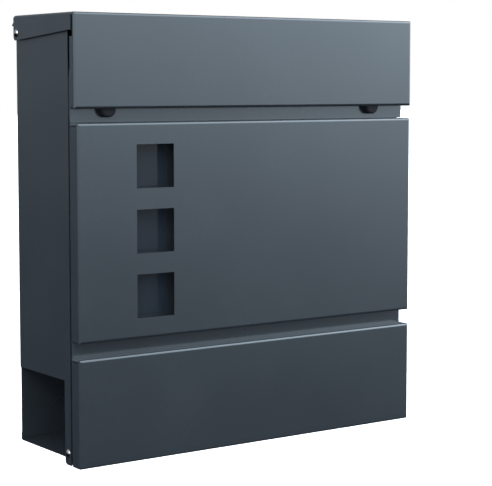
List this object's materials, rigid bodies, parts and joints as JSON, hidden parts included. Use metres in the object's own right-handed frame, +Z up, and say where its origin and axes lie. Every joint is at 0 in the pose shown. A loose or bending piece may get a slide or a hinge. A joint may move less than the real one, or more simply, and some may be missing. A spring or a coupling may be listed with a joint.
{
  "type": "wall mounted mailbox",
  "caption": "Folded steel wall mailbox with a lifting lid, a front that tips forward for emptying, three small square windows, a cam lock and an open newspaper tube below.",
  "frame": {"origin": "middle of the four wall holes, on the wall's surface", "axes": "+Z up, -Y out of the front, +Y into the wall, +X to the right as seen from the front"},
  "size_m": [0.3778, 0.121, 0.39],
  "materials": {
    "coated_steel": "satin powder coat, anthracite grey, very fine texture",
    "nickel": "nickel plated, bright",
    "zinc": "zinc plated, dull",
    "rubber": "smooth black rubber",
    "nylon": "plain black nylon",
    "clear_pane": "clear acrylic, glossy"
  },
  "bodies": {
    "box": {"side_wall_left": "coated_steel", "side_wall_right": "coated_steel", "corner_angle_left": "coated_steel", "corner_angle_right": "coated_steel", "back_panel": "coated_steel", "mail_floor": "coated_steel", "newspaper_floor": "coated_steel", "front_rail": "coated_steel", "wall_spacers": "rubber", "bumper_left_pad": "rubber", "bumper_right_pad": "rubber", "lock_housing": "zinc", "lock_nut": "zinc", "lid_rivets": "nickel", "lid_washers": "nylon", "door_rivets": "nickel", "door_bushes": "nylon"},
    "lid": {"lid_shell": "coated_steel"},
    "door": {"door_pan": "coated_steel", "window_cover": "coated_steel", "lower_cover": "coated_steel", "window_pane": "clear_pane", "pane_retainers": "zinc", "hinge_ear_left": "coated_steel", "hinge_ear_right": "coated_steel", "strike": "zinc", "window_cover_studs": "zinc", "window_cover_nuts": "zinc", "lower_cover_studs": "zinc", "lower_cover_nuts": "zinc"},
    "lock": {"lock_plug": "nickel", "lock_cam": "zinc", "cam_screw": "zinc"}
  },
  "joints": [
    {"name": "lid_hinge", "type": "hinge", "parent": "box", "child": "lid", "pos_m": [0, -0.0165, 0.1444], "axis": [-1, 0, 0], "range_deg": [0, 85]},
    {"name": "door_hinge", "type": "hinge", "parent": "box", "child": "door", "pos_m": [0, -0.09775, -0.2196], "axis": [1, 0, 0], "range_deg": [0, 105]},
    {"name": "lock_turn", "type": "hinge", "parent": "box", "child": "lock", "pos_m": [0, -0.108, 0.092], "axis": [0, 1, 0], "range_deg": [0, 90]}
  ]
}
